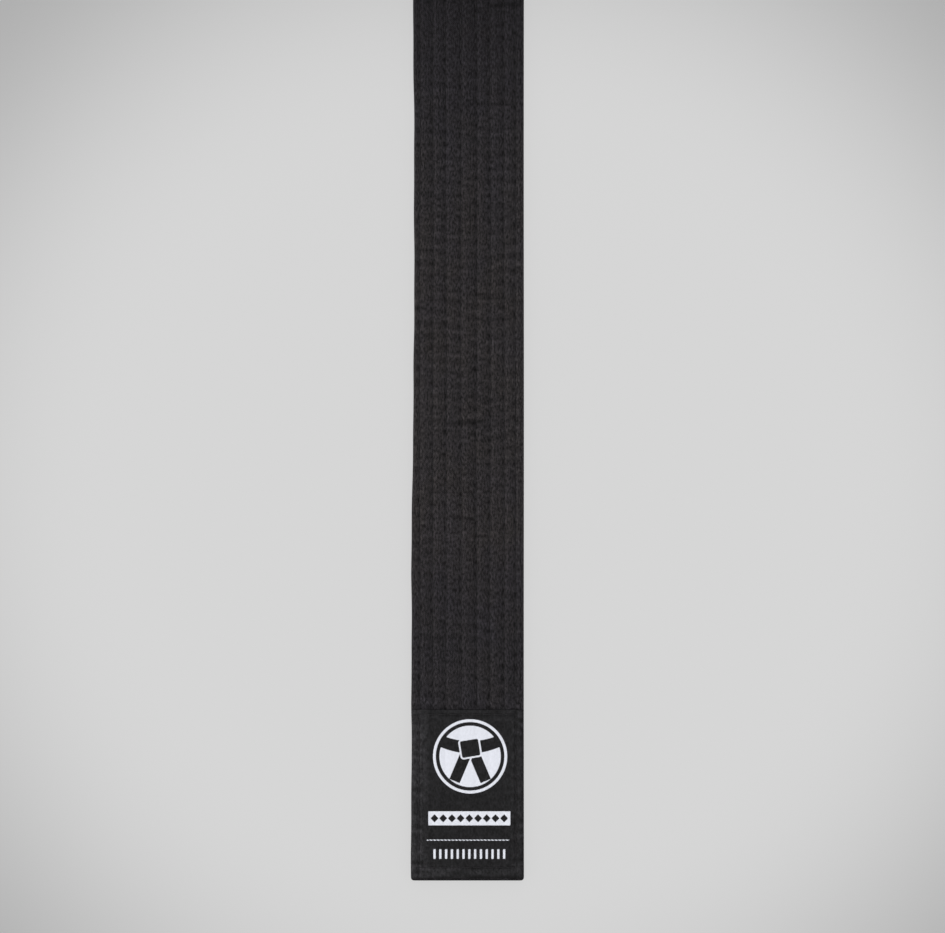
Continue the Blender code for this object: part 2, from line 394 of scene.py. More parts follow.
def pillow(s, u):
    """Height of the quilted channels, without their puckers: each rises steeply beside the row on its
    left, and sinks gently towards the row on its right."""
    height = HALF_THICKNESS - SHOULDER_FALL * ramp(np.abs(u), SHOULDER, SHOULDER_WIDTH) ** 2
    height = height + SWELL * ramp(s, SWELL_START, SETTLE)
    for channel, (low, high) in enumerate(channels(row_places(s), CHANNEL_END)):
        share = (u - low) / (high - low)
        inside = (share >= 0) & (share < 1)
        gentle = ramp(share, GENTLE_START, 1 - GENTLE_START) ** GENTLE_POWER
        fall = GENTLE_FALL * GROOVES[channel] * gentle
        if channel:
            steep = np.clip(1 - share / STEEP_WIDTH, 0, 1) ** STEEP_POWER
            fall = fall + STEEP_FALL * GROOVES[channel - 1] * steep
        height = height - np.where(inside, fall, 0.0)
    return height


def creases(s, u):
    """How far the creases stand above or below the face."""
    height = 0.0
    lip_share, lip_distance, lip_width = CREASE_LIP
    for at, low, high, slant, depth in CREASES:
        line = s - at - slant * (u - low)
        ends = np.clip(np.minimum(u - low, high - u) / 2.5 + 0.5, 0, 1)
        height = height - depth * ends * bell(line, CREASE_WIDTH)
        height = height + lip_share * depth * ends * bell(line - lip_distance, lip_width)
    return height


def puckers(s, u, side):
    """How far the cloth stands above or below the smooth channels, where the stitches gather it."""
    which = 0 if side > 0 else 1
    edges = row_places(s)
    nearest = np.min([np.abs(u - edge) for edge in edges], axis=0)
    free = 0.45 + 0.55 * ramp(nearest, 0.0, 1.5)
    height = LONG_PUCKER * free * wave_sum(s, u, LONG_WAVES[which])
    families = CHANNEL_WAVES[which * CHANNEL_COUNT :][:CHANNEL_COUNT]
    for (low, high), family in zip(channels(edges, PUCKER_END), families):
        inside = ramp(np.minimum(u - low, high - u), 0.0, 1.5)
        height = height + CHANNEL_PUCKER * inside * wave_sum(s, u, family)
    gather = 1 + 0.5 * np.sin(s / 31.0 + side) + 0.4 * np.sin(s / 12.7 + u / 9.0)
    for row, edge in enumerate(edges):
        off = u - edge
        phase = stitch_phase(row, s)
        hole = np.rint(phase)
        pull = PULLS[row][np.clip(hole.astype(int), 0, len(PULLS[row]) - 1)]
        from_hole = (phase - hole) * STITCHES[row]
        height = height - RIPPLE * gather * bell(off, RIPPLE_REACH) * np.cos(2 * math.pi * phase)
        height = height - PIT_DEPTH * pull * bell(off, PIT_WIDTH) * bell(from_hole, PIT_LENGTH)
    return height + creases(s, u) if side > 0 else height


def shaded_and_worn(s, u, side):
    """How much paler or darker than elsewhere the cloth is painted. Painted shade darkens its hollows, its
    stitch pits and its folded ends; where it stands proud it is paler, from wear and painted light; a painted
    highlight runs along a ridge on the right of each row; and it is paler along the belt's left side."""
    # Painted shade following the relief: darker in the hollows and stitch pits, paler where the cloth stands
    # proud, partly wear
    proud = puckers(s, u, side) + 0.45 * (pillow(s, u) - HALF_THICKNESS + 0.12)
    proud = proud + 0.06 * ramp(-u, SHOULDER, 1.0) - 0.035
    # Painted highlight along a ridge right of each row, on the slope that faces the side light
    for edge in row_places(s):
        proud = proud + 0.11 * bell(u - edge - 1.15, 0.75)
    # Painted shade at the folded ends
    return proud - 0.3 * np.exp(-np.minimum(s, LENGTH - s) / 1.5)


def surface(s, u, side):
    """Height of the face (side 1) or of the back (side -1) above the belt's mid-plane."""
    broad = BROAD_WAVE * wave_sum(s, u, BROAD_WAVES[0 if side > 0 else 1])
    return pillow(s, u) + puckers(s, u, side) + broad


def face_surface(s, u):
    """Height of the face above the belt's mid-plane."""
    return surface(s, u, 1)


def back_surface(s, u):
    """Height of the back away from the belt's mid-plane."""
    return surface(s, u, -1)


# ---------------------------------------------------------------- meshes


def grid_quads(rows, columns, ring=True):
    """Quads between the rows of a grid of vertices; each row closes on itself if it is a ring."""
    index = np.arange(rows * columns).reshape(rows, columns)
    if ring:
        index = np.concatenate([index, index[:, :1]], 1)
    return np.stack([index[:-1, :-1], index[:-1, 1:], index[1:, 1:], index[1:, :-1]], -1).reshape(-1, 4)


def tube_faces(rows, columns, base=0):
    """Faces of a closed tube of rings, with a cap on each end."""
    faces = (grid_quads(rows, columns) + base).tolist()
    first = list(range(base, base + columns))
    last = [i + (rows - 1) * columns for i in first]
    return faces + [first[::-1], last]


def mesh_object(name, points, faces, material, attributes=()):
    """A smooth-shaded mesh object with its material and its named point attributes."""
    mesh = bpy.data.meshes.new(name)
    mesh.from_pydata(points.reshape(-1, 3).tolist(), [], faces)
    for label, values in attributes:
        values = np.asarray(values, np.float32)
        kind = "FLOAT_VECTOR" if values.shape[-1] == 3 and values.ndim > 1 else "FLOAT"
        layer = mesh.attributes.new(label, kind, "POINT")
        layer.data.foreach_set("vector" if kind == "FLOAT_VECTOR" else "value", values.ravel())
    mesh.polygons.foreach_set("use_smooth", [True] * len(mesh.polygons))
    mesh.materials.append(material)
    mesh.update()
    made = bpy.data.objects.new(name, mesh)
    bpy.context.scene.collection.objects.link(made)
    return made


def bend(made):
    """Bakes the piece's transform into its mesh."""
    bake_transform(made)


# ---------------------------------------------------------------- materials

COLD_BLACK = (0.0138, 0.0125, 0.0147, 1)
WARM_BLACK = (0.0151, 0.0132, 0.0132, 1)
THREAD_BLACK = (0.0128, 0.0117, 0.013)
CREAM = (0.62, 0.56, 0.45, 1)
BROWN_FLECK = (0.3, 0.22, 0.13, 1)
LABEL_BLACK = (0.00687, 0.0066, 0.00724)
LABEL_WHITE = (0.6, 0.614, 0.668)
PALE_GREY = (0.8, 0.8, 0.8, 1)
# Lengths in which the pattern of the thread's twist and of the label's ribs repeats
TWIST_PITCH = 0.7
RIB_PITCH = 0.26


def new_material(name):
    """A node material, its node tree and its shader."""
    material = bpy.data.materials.new(name)
    material.use_nodes = True
    tree = material.node_tree
    return material, tree, tree.nodes["Principled BSDF"]


def add(tree, kind, inputs=(), **settings):
    """A node with its settings, and its inputs as pairs of a socket and a value or another socket."""
    made = tree.nodes.new(kind)
    for key, value in settings.items():
        setattr(made, key, value)
    for socket, value in inputs:
        if isinstance(value, bpy.types.NodeSocket):
            tree.links.new(value, made.inputs[socket])
        else:
            made.inputs[socket].default_value = value
    return made


def math_node(tree, operation, first, second=0.0, third=0.0):
    """The output of a Math node."""
    pairs = [(0, first), (1, second), (2, third)]
    return add(tree, "ShaderNodeMath", pairs, operation=operation).outputs[0]


def total(tree, first, *others):
    """The sum of several values."""
    for other in others:
        first = math_node(tree, "ADD", first, other)
    return first


def vector_node(tree, operation, *inputs):
    """The output of a Vector Math node."""
    return add(tree, "ShaderNodeVectorMath", enumerate(inputs), operation=operation).outputs[0]


def scaled(tree, vector, x, y):
    """A vector with its first two parts multiplied."""
    return vector_node(tree, "MULTIPLY", vector, (x, y, 1.0))


def toned(tree, colour, tone):
    """A colour multiplied by a tone."""
    pairs = [(0, colour), ("Scale", tone)]
    return add(tree, "ShaderNodeVectorMath", pairs, operation="SCALE").outputs[0]


def noise(tree, vector, scale=1.0, detail=2.0, rough=0.5):
    """The value of a noise texture, about 0.5."""
    pairs = [("Vector", vector), ("Scale", scale), ("Detail", detail), ("Roughness", rough)]
    return add(tree, "ShaderNodeTexNoise", pairs).outputs["Fac"]


def remap(tree, value, low, high, to_low=0.0, to_high=1.0):
    """A value moved from one range to another, and kept inside it."""
    pairs = [(0, value), (1, low), (2, high), (3, to_low), (4, to_high)]
    return add(tree, "ShaderNodeMapRange", pairs).outputs[0]


def mixed(tree, factor, first, second):
    """Two colours mixed."""
    pairs = [(0, factor), (6, first), (7, second)]
    return add(tree, "ShaderNodeMix", pairs, data_type="RGBA").outputs[2]


def attribute(tree, name, output):
    """An attribute of the mesh: its Vector, or its Fac, a single value."""
    return add(tree, "ShaderNodeAttribute", attribute_name=name).outputs[output]


def weave_height(tree, vector, across, along, wobble):
    """Height of a plain weave, from 0 to 1, whose yarns lie across and along at those pitches in mm."""
    pairs = [("Vector", vector), ("Scale", 0.45), ("Detail", 2.0)]
    shift = add(tree, "ShaderNodeTexNoise", pairs).outputs["Color"]
    centred = vector_node(tree, "SUBTRACT", shift, (0.5, 0.5, 0.5))
    moved = vector_node(tree, "MULTIPLY_ADD", centred, (wobble, wobble, 0.0), vector)
    parts = add(tree, "ShaderNodeSeparateXYZ", [(0, moved)]).outputs
    warp = math_node(tree, "SINE", math_node(tree, "MULTIPLY", parts[0], math.pi / across))
    weft = math_node(tree, "SINE", math_node(tree, "MULTIPLY", parts[1], math.pi / along))
    product = math_node(tree, "MULTIPLY", warp, weft)
    return math_node(tree, "MULTIPLY_ADD", product, 0.5, 0.5)


def dress(tree, shader, colour, relief, strength, distance, roughness, gloss):
    """Gives a shader its colour, its roughness, its gloss and, as bump, a relief of so many metres."""
    bump = add(tree, "ShaderNodeBump", [("Height", relief), ("Strength", strength), ("Distance", distance)])
    tree.links.new(colour, shader.inputs["Base Color"])
    tree.links.new(bump.outputs[0], shader.inputs["Normal"])
    shader.inputs["Roughness"].default_value = roughness
    shader.inputs["Specular IOR Level"].default_value = gloss


def cotton_material():
    """Black cotton: a slubby plain weave, faded a little unevenly, with painted shade in its hollows, stitch
    pits and folded ends, a painted highlight on a ridge right of each row, and paler ridges and right fold
    from wear and painted light. The darker its tone along the belt, the bluer its black is."""
    material, tree, shader = new_material("black_cotton")
    cloth = attribute(tree, "cloth", "Vector")
    shade_and_wear = attribute(tree, "shade_and_wear", "Fac")
    fade_and_shade = attribute(tree, "fade_and_shade", "Fac")
    weave = weave_height(tree, cloth, across=0.42, along=0.36, wobble=0.5)
    slubs = noise(tree, scaled(tree, cloth, 1.7, 0.82), detail=1.0, rough=0.6)
    streaks = noise(tree, scaled(tree, cloth, 1.9, 0.35))
    patches = noise(tree, scaled(tree, cloth, 0.06, 0.045), detail=3.0, rough=0.6)
    hues = noise(tree, scaled(tree, cloth, 0.11, 0.06))
    tone = total(
        tree,
        remap(tree, slubs, 0.0, 1.0, -1.9, 1.9),
        1.0,
        remap(tree, streaks, 0.0, 1.0, -0.9, 0.9),
        remap(tree, patches, 0.3, 0.7, -0.1, 0.1),
        remap(tree, weave, 0.0, 1.0, -0.16, 0.16),
    )
    tone = math_node(tree, "MAXIMUM", tone, 0.25)
    # Painted shade and painted light from the cloth's relief, mixed with its wear
    tone = math_node(tree, "MULTIPLY", tone, remap(tree, shade_and_wear, -0.3, 0.3, 0.42, 1.58))
    # Tone along the belt, with painted shade at the folded end
    tone = math_node(tree, "MULTIPLY", tone, fade_and_shade)
    warmth = total(tree, remap(tree, fade_and_shade, 0.8, 1.03, 0.0, 0.69), remap(tree, hues, 0.35, 0.65, -0.25, 0.25))
    warmth = math_node(tree, "MAXIMUM", warmth, 0.0)
    hue = mixed(tree, warmth, COLD_BLACK, WARM_BLACK)
    relief = total(tree, math_node(tree, "MULTIPLY", weave, 0.5), slubs)
    colour = toned(tree, hue, tone)
    dress(tree, shader, colour, relief, strength=0.9, distance=0.0002, roughness=0.9, gloss=0.15)
    return material


def thread_material():
    """Black sewing thread: two plies twisted together, a little glossier than the cloth."""
    material, tree, shader = new_material("black_thread")
    along = attribute(tree, "thread", "Vector")
    parts = add(tree, "ShaderNodeSeparateXYZ", [(0, along)]).outputs
    turn = math_node(tree, "MULTIPLY", parts[0], 2 * math.pi / TWIST_PITCH)
    twist = math_node(tree, "SINE", total(tree, turn, parts[1]))
    fuzz = noise(tree, along, scale=3.0)
    tone = total(tree, remap(tree, twist, -1.0, 1.0, 0.75, 1.1), remap(tree, fuzz, 0.2, 0.8, -0.2, 0.2))
    colour = toned(tree, THREAD_BLACK, tone)
    dress(tree, shader, colour, twist, strength=0.5, distance=0.00004, roughness=0.7, gloss=0.15)
    return material


def interlining_material():
    """Undyed cotton interlining: a matted, slightly flecked cream."""
    material, tree, shader = new_material("natural_interlining")
    cloth = attribute(tree, "cloth", "Vector")
    weave = weave_height(tree, cloth, across=0.7, along=0.7, wobble=0.7)
    mat = noise(tree, cloth, scale=1.2, detail=4.0, rough=0.6)
    specks = remap(tree, noise(tree, cloth, scale=2.7, detail=1.0), 0.68, 0.74)
    tone = total(tree, remap(tree, mat, 0.3, 0.7, 0.85, 1.08), remap(tree, weave, 0.0, 1.0, -0.08, 0.08))
    base = mixed(tree, specks, CREAM, BROWN_FLECK)
    colour = toned(tree, base, tone)
    relief = total(tree, weave, mat)
    dress(tree, shader, colour, relief, strength=0.6, distance=0.00015, roughness=0.9, gloss=0.2)
    return material


def label_material():
    """Woven label: fine black satin ground, with the motif in white weft."""
    material, tree, shader = new_material("black_label_satin")
    cloth = attribute(tree, "cloth", "Vector")
    motif = attribute(tree, "motif", "Fac")
    rubbed_and_shadow = attribute(tree, "rubbed_and_shadow", "Fac")
    parts = add(tree, "ShaderNodeSeparateXYZ", [(0, cloth)]).outputs
    ribs = math_node(tree, "SINE", math_node(tree, "MULTIPLY", parts[1], 2 * math.pi / RIB_PITCH))
    weave = weave_height(tree, cloth, across=0.24, along=0.13, wobble=0.1)
    mottle = noise(tree, scaled(tree, cloth, 1.5, 0.8), rough=0.7)
    patches = noise(tree, scaled(tree, cloth, 0.09, 0.07))
    clouds = noise(tree, scaled(tree, cloth, 0.5, 0.35))
    black_tone = total(
        tree,
        remap(tree, mottle, 0.2, 0.8, -0.1, 2.1),
        remap(tree, patches, 0.3, 0.7, -0.16, 0.16),
        remap(tree, weave, 0.0, 1.0, -0.15, 0.15),
        remap(tree, clouds, 0.25, 0.75, -0.45, 0.4),
    )
    black_tone = math_node(tree, "MAXIMUM", black_tone, 0.3)
    # Rubbed paler at the hems, darker along the stitch lines, and a painted shadow along the lower edge
    black_tone = math_node(tree, "MULTIPLY", black_tone, rubbed_and_shadow)
    black = toned(tree, LABEL_BLACK, black_tone)
    white_tone = total(
        tree, remap(tree, weave, 0.0, 1.0, 0.84, 1.04), remap(tree, mottle, 0.25, 0.75, -0.06, 0.06)
    )
    white = toned(tree, LABEL_WHITE, white_tone)
    ragged = math_node(tree, "MULTIPLY_ADD", ribs, 0.05, motif)
    colour = mixed(tree, remap(tree, ragged, -0.07, 0.07), black, white)
    relief = total(tree, weave, math_node(tree, "MULTIPLY", ribs, 0.3))
    dress(tree, shader, colour, relief, strength=0.5, distance=0.00005, roughness=0.7, gloss=0.12)
    return material


# ---------------------------------------------------------------- cover


def face_places(fine):
    """Places across the face, from left to right, close together at the stitch rows."""
    offsets = (-1.15, -0.62, -0.3, 0.0, 0.3, 0.62, 1.15) if fine else (-0.7, 0.0, 0.7)
    steps = 3 if fine else 1
    places = [-FACE_LEFT]
    for row, nominal in enumerate(ROWS):
        places += [nominal + off for off in offsets]
        if row < len(ROWS) - 1:
            between = np.linspace(nominal + offsets[-1], ROWS[row + 1] - offsets[-1], steps + 2)
            places += between[1:-1].tolist()
    return np.array([*places, FACE_RIGHT])


def rounded_side(height, reach, start, sign, steps):
    """Rounded side of the belt, from the edge of its face or back down to its middle: places (u, n)."""
    turn = np.linspace(0, math.pi / 2, steps + 1)[1:]
    return start + (reach - abs(start)) * np.sin(turn) * sign, height * np.cos(turn)


def lining(s, fine, share):
    """Inside of the cover at one length, from its open seam round the core and back: places (u, n). It
    closes to a slit at the belt's ends."""
    left, right = half_widths(s)
    knots = np.array([-LINING_LEFT, *ROWS, LINING_RIGHT])
    if fine:
        knots = np.sort(np.concatenate([knots, (knots[1:] + knots[:-1]) / 2]))
    knots = knots * np.interp(knots, [-20.0, 20.0], [left / FULL_LEFT, right / FULL_RIGHT])
    open_share = ramp(min(s, LENGTH - s), 0.0, END_FOLD)
    room = (pillow(s, knots) - WALL) * share
    room = SLIT + (np.maximum(room, 0.3) - SLIT) * open_share**0.7
    room = np.minimum(room, np.maximum(0.45 * share, room * open_share))
    u = np.concatenate([[WALL - left], knots, [right - WALL - 0.05], knots[::-1], [WALL - left]])
    n = np.concatenate([[-0.01], -room, [0.0], room[::-1], [0.01]])
    return u, n


def cover_ring(s, across, fine):
    """One C-shaped section of the cover: places (u, n) round it, and the painted shade, painted light and
    wear of each.
    """
    left, right = half_widths(s)
    share = end_share(s)
    steps = 6 if fine else 3
    sides = (-20.0, 0.0, 20.0)
    full = np.interp(across, sides, (-FULL_LEFT, 0.0, FULL_RIGHT))
    u_face = across * np.interp(across, sides, (-left, 0.0, right)) / full
    face = surface(s, u_face, 1)
    back = surface(s, u_face, -1)
    left_u, left_n = rounded_side(face[0], left, u_face[0], -1, steps)
    right_u, right_n = rounded_side(face[-1], right, u_face[-1], 1, steps)
    back_right_u, back_right_n = rounded_side(back[-1], right, u_face[-1], 1, steps)
    back_left_u, back_left_n = rounded_side(back[0], left, u_face[0], -1, steps)
    u = [left_u[::-1], u_face, right_u, back_right_u[:-1][::-1], u_face[::-1], back_left_u]
    n = [left_n[::-1], face, right_n, -back_right_n[:-1][::-1], -back[::-1], -back_left_n]
    u, n = np.concatenate(u), np.concatenate(n)
    u[0] = u[-1] = SEAM_INSET - left
    n[0], n[-1] = SEAM_LIP, -SEAM_LIP
    inner_u, inner_n = lining(s, fine, share)
    face_shade_and_wear, back_shade_and_wear = shaded_and_worn(s, u_face, 1), shaded_and_worn(s, u_face, -1)
    left_fold = np.full(steps, face_shade_and_wear[0])
    # The right fold is painted paler: partly wear, partly painted light on its side away from the side light
    right_fold = np.full(2 * steps - 1, face_shade_and_wear[-1] + RIGHT_FOLD_LIGHT_AND_WEAR)
    shade_and_wear = [left_fold, face_shade_and_wear, right_fold, back_shade_and_wear[::-1], left_fold, np.zeros(len(inner_u))]
    return np.concatenate([u, inner_u]), np.concatenate([n * share, inner_n]), np.concatenate(shade_and_wear)


def make_cover(name, start, stop, fine, material, replaced):
    """One length of the cover, a thin shell of cloth wrapped round the core."""
    spacing = FINE_SPACING if fine else COARSE_SPACING
    stations = np.linspace(start, stop, max(2, int(round((stop - start) / spacing)) + 1))
    clear = END_STATIONS[-1] + 0.3
    if start == 0.0:
        stations = np.concatenate([END_STATIONS, stations[stations > clear]])
    if stop == LENGTH:
        stations = np.concatenate([stations[stations < LENGTH - clear], LENGTH - END_STATIONS[::-1]])
    across = face_places(fine)
    u, n, shade_and_wear = (np.array(part) for part in zip(*(cover_ring(s, across, fine) for s in stations)))
    s = np.broadcast_to(stations[:, None], u.shape)
    # The way round a section, in cloth, is that of the fifth section from the last one
    way = np.concatenate([[0.0], np.cumsum(np.hypot(np.diff(u[-5]), np.diff(n[-5])))])
    cloth = np.stack([np.broadcast_to(way, u.shape), s, np.zeros(u.shape)], -1)
    fade_and_shade = np.interp(s, FADE_AND_SHADE_AT, FADE_AND_SHADE)
    attributes = [("cloth", cloth.reshape(-1, 3)), ("shade_and_wear", shade_and_wear.ravel()), ("fade_and_shade", fade_and_shade.ravel())]
    cover = mesh_object(name, place(s, u, n), tube_faces(*u.shape), material, attributes)
    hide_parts(*replaced)
    return cover


# ---------------------------------------------------------------- core


def make_ply(ply, material):
    """One strip of interlining, the whole length of the belt, with its sections close together where the
    belt bends. It is pressed thinner at the belt's ends and sides."""
    fold_start = FREE_END_LENGTH - BEND_ON_FREE_END - 3.0
    fold_stop = FREE_END_LENGTH + BEND_ON_LEAD + 3.0
    stations = [
        np.arange(PLY_END, fold_start, 4.0),
        np.arange(fold_start, fold_stop, 1.0),
        np.arange(fold_stop, LEAD_END, 4.0),
        np.arange(LEAD_END, LENGTH - PLY_END - 5, 7.0),
        [LENGTH - PLY_END],
    ]
    across = np.linspace(-PLY_WIDTH / 2, PLY_WIDTH / 2, 25) * PLY_FIT
    s, u = np.meshgrid(np.concatenate(stations), across, indexing="ij")
    room = (pillow(s, u) - WALL - PLY_CLEARANCE) * np.clip(np.minimum(s, LENGTH - s) / 6.0, 0.3, 1)
    room = room * (1 - 0.35 * ramp(np.abs(u), 17.5, 1.6))
    low = (2.0 * ply / PLY_COUNT - 1.0) * PLY_FILL + PLY_GAP
    high = (2.0 * (ply + 1) / PLY_COUNT - 1.0) * PLY_FILL - PLY_GAP
    ring_s = np.concatenate([s, s], 1)
    ring_u = np.concatenate([u, u[:, ::-1]], 1)
    ring_n = np.concatenate([room * high, room[:, ::-1] * low], 1)
    cloth = np.stack([ring_u, ring_s, np.full(ring_u.shape, float(ply))], -1).reshape(-1, 3)
    points = place(ring_s, ring_u, ring_n)
    faces = tube_faces(*ring_u.shape)
    name = f"core_ply_{ply + 1}"
    made = mesh_object(name, points, faces, material, [("cloth", cloth)])
    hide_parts(f"rolled_core_ply_{ply + 1}", f"free_end_core_ply_{ply + 1}")
    bend(made)
    return made


# ---------------------------------------------------------------- threads


def sweep(points, up):
    """Rings of a thread round a line of points, with the thread coordinates of their vertices: how far
    along the line in mm, and how far round it."""
    along = np.gradient(points, axis=0)
    along /= np.linalg.norm(along, axis=1)[:, None]
    side = np.cross(up, along)
    side /= np.linalg.norm(side, axis=1)[:, None]
    top = np.cross(along, side)
    turn = np.arange(THREAD_SIDES) * 2 * math.pi / THREAD_SIDES
    radius = THREAD_RADIUS * MM
    rings = (
        points[:, None, :]
        + radius * np.cos(turn)[None, :, None] * side[:, None, :]
        + radius * np.sin(turn)[None, :, None] * top[:, None, :]
    )
    steps = np.linalg.norm(np.diff(points, axis=0), axis=1)
    length = np.concatenate([[0.0], np.cumsum(steps)]) / MM
    length, turn = np.broadcast_arrays(length[:, None], turn[None, :])
    coords = np.stack([length, turn, np.zeros(turn.shape)], -1)
    return rings.reshape(-1, 3), coords.reshape(-1, 3)


def stitch_dip(from_hole):
    """How far a thread goes down into the cloth near a needle hole."""
    return THREAD_DIP * bell(from_hole, THREAD_DIP_LENGTH)


def thread_line(s, u, n, side):
    """A thread's line on one side of the belt, and the directions away from the belt along it."""
    line = place(s, u, n * side)
    return line, place(s, u, n * side + side) - line


def make_row_thread(row, side, material):
    """One thread of a stitch row, on the face (side 1) or on the back (side -1)."""
    kind = "needle_thread" if side > 0 else "bobbin_thread"
    fine_stop = FLAT_STOP if side > 0 else OUTER_TURN_STOP
    holes = HOLES[row]
    inside = holes[(holes > ROW_INSET) & (holes < LENGTH - ROW_INSET)]
    s = np.concatenate([np.arange(inside[0], fine_stop, 0.45), np.arange(fine_stop, inside[-1], 1.5)])
    phase = stitch_phase(row, s)
    from_hole = (phase - np.rint(phase)) * STITCHES[row]
    sway = 0.05 * np.sin(s * 1.9 + row) * np.abs(np.sin(math.pi * phase))
    u = row_place(row, s) + sway
    n = surface(s, u, side) + ROW_THREAD_LIFT - stitch_dip(from_hole)
    points, coords = sweep(*thread_line(s, u, n, side))
    faces = tube_faces(len(s), THREAD_SIDES)
    made = mesh_object(f"{kind}_{row + 1}", points, faces, material, [("thread", coords)])
    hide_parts(f"free_end_{kind}_{row + 1}", f"lead_{kind}_{row + 1}")
    bend(made)


def stitched_line(corners, height_at, side):
    """A line of stitches through corners (s, u): its points and the directions away from the belt."""
    corners = np.array(corners, float)
    runs = np.linalg.norm(np.diff(corners, axis=0), axis=1)
    reached = np.concatenate([[0.0], np.cumsum(runs)])
    length = np.arange(0, reached[-1], 0.3)
    s = np.interp(length, reached, corners[:, 0])
    u = np.interp(length, reached, corners[:, 1])
    from_hole = length - np.rint(length / LABEL_STITCH) * LABEL_STITCH
    n = height_at(s, u) + SEAM_THREAD_LIFT - stitch_dip(from_hole)
    return thread_line(s, u, n, side)


def make_stitch_line(name, corners, face_height, material, replaced, body):
    """A line of stitches through the whole belt, as one mesh object of its two threads."""
    points, faces, coords = [], [], []
    for height_at, side in ((face_height, 1), (back_surface, -1)):
        line, up = stitched_line(corners, height_at, side)
        faces += tube_faces(len(line), THREAD_SIDES, sum(len(part) for part in points))
        ring_points, ring_coords = sweep(line, up)
        points.append(ring_points)
        coords.append(ring_coords)
    coords = [("thread", np.concatenate(coords))]
    made = mesh_object(name, np.concatenate(points), faces, material, coords)
    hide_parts(replaced)
    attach(made, body)


# ---------------------------------------------------------------- label


def box_inside(x, y, half_x, half_y, turn=0.0):
    """How far points are inside a box round the origin, turned by an angle; negative outside."""
    c, s = math.cos(turn), math.sin(turn)
    x, y = c * x + s * y, c * y - s * x
    over_x, over_y = np.abs(x) - half_x, np.abs(y) - half_y
    outside = np.hypot(np.maximum(over_x, 0), np.maximum(over_y, 0))
    return -(outside + np.minimum(np.maximum(over_x, over_y), 0))


def emblem(x, y):
    """A ring round a disc that bears a tied belt: its waist band, its knot and its two hanging ends, the
    tails, of which the left one crosses over the right one."""
    radius = np.hypot(x, y)
    ring = np.minimum(RING_OUTER - radius, radius - RING_INNER)
    disc = DISC_RADIUS - radius
    band = BAND_HALF_WIDTH - np.abs(y - BAND_Y - BAND_CURVE * x * x)
    knot = box_inside(x, y - KNOT_Y, *KNOT_HALVES, KNOT_TURN) + KNOT_ROUND
    left_tail = box_inside(x + TAIL_X, y - TAIL_Y, *TAIL_HALVES, -TAIL_TURN)
    right_tail = box_inside(x - TAIL_X, y - TAIL_Y, *TAIL_HALVES, TAIL_TURN)
    right_tail = np.minimum(right_tail, -(left_tail + TAIL_GAP))
    tails = np.maximum(left_tail, right_tail)
    black = np.maximum(knot, np.minimum(np.maximum(band, tails), -(knot + KNOT_GAP)))
    return np.maximum(ring, np.minimum(disc, -black))


def diamond_banner(x, y):
    """A white bar with a row of black diamonds on it."""
    bar = box_inside(x, y, *BANNER_HALVES) + BANNER_ROUND
    from_diamond = (x + DIAMOND_PITCH / 2) % DIAMOND_PITCH - DIAMOND_PITCH / 2
    diamonds = (DIAMOND_HALF - np.abs(from_diamond) - np.abs(y)) * 0.7
    diamonds = np.where(np.abs(x) < DIAMOND_COUNT / 2 * DIAMOND_PITCH, diamonds, -1.0)
    return np.minimum(bar, -diamonds)


def label_motif(s, u):
    """How far a point of the label is inside a white part of its pattern, in mm; negative outside."""
    from_middle = u - PATTERN_MIDDLE
    dashes = 0.16 + 0.1 * np.sin(2 * math.pi * (u + s) / DASH_PITCH)
    parts = [
        emblem(u - EMBLEM_U, s - EMBLEM_S),
        diamond_banner(from_middle, s - BANNER_S),
        np.minimum(dashes - np.abs(s - DASHES_S), DASHES_HALF_WIDTH - np.abs(u - DASHES_U)),
    ]
    for bar in range(BAR_COUNT):
        bar_place = (bar - BAR_COUNT // 2) * BAR_PITCH
        parts.append(box_inside(from_middle - bar_place, s - BARS_S, *BAR_HALVES))
    return np.maximum.reduce(parts)


def label_edge(s, u):
    """How far inside the label's border a point is."""
    return np.minimum.reduce([LABEL_HALF_WIDTH - np.abs(u), s - LABEL_START, LABEL_STOP - s])


def label_hem(edge):
    """How much thicker the label is where its edge is turned in."""
    return LABEL_HEM * np.clip((HEM_WIDTH - edge) / HEM_SLOPE, 0, 1)


def label_surface(s, u):
    """Height of the label's face."""
    height = HALF_THICKNESS + LABEL_CLEARANCE + LABEL_THICKNESS
    reach_left, reach_right = half_widths(np.clip(s, 8.0, 60.0))
    side = np.where(u < 0, reach_left + u, reach_right - u)
    height = height - 0.5 * np.clip((2.0 - side) / 2.0, 0, 1) ** 2
    for edge in row_places(s):
        height = height - 0.07 * bell(u - edge, 0.9)
    height = height + label_hem(label_edge(s, u))
    height = height + 0.035 * wave_sum(s, u, BROAD_WAVES[0])
    for along, off in (
        (s, np.abs(u) - LABEL_STITCH_SIDE),
        (u, s - LABEL_STITCH_STOP),
        (u, s - LABEL_STITCH_START),
    ):
        height = height - 0.16 * bell(off, 0.6)
        gathered = np.exp(-np.abs(off) / 0.8) * np.cos(2 * math.pi * along / LABEL_STITCH)
        height = height - 0.05 * gathered
    return height - 0.5 * (1 - ramp(s, 0.0, END_ROUND)) ** 2


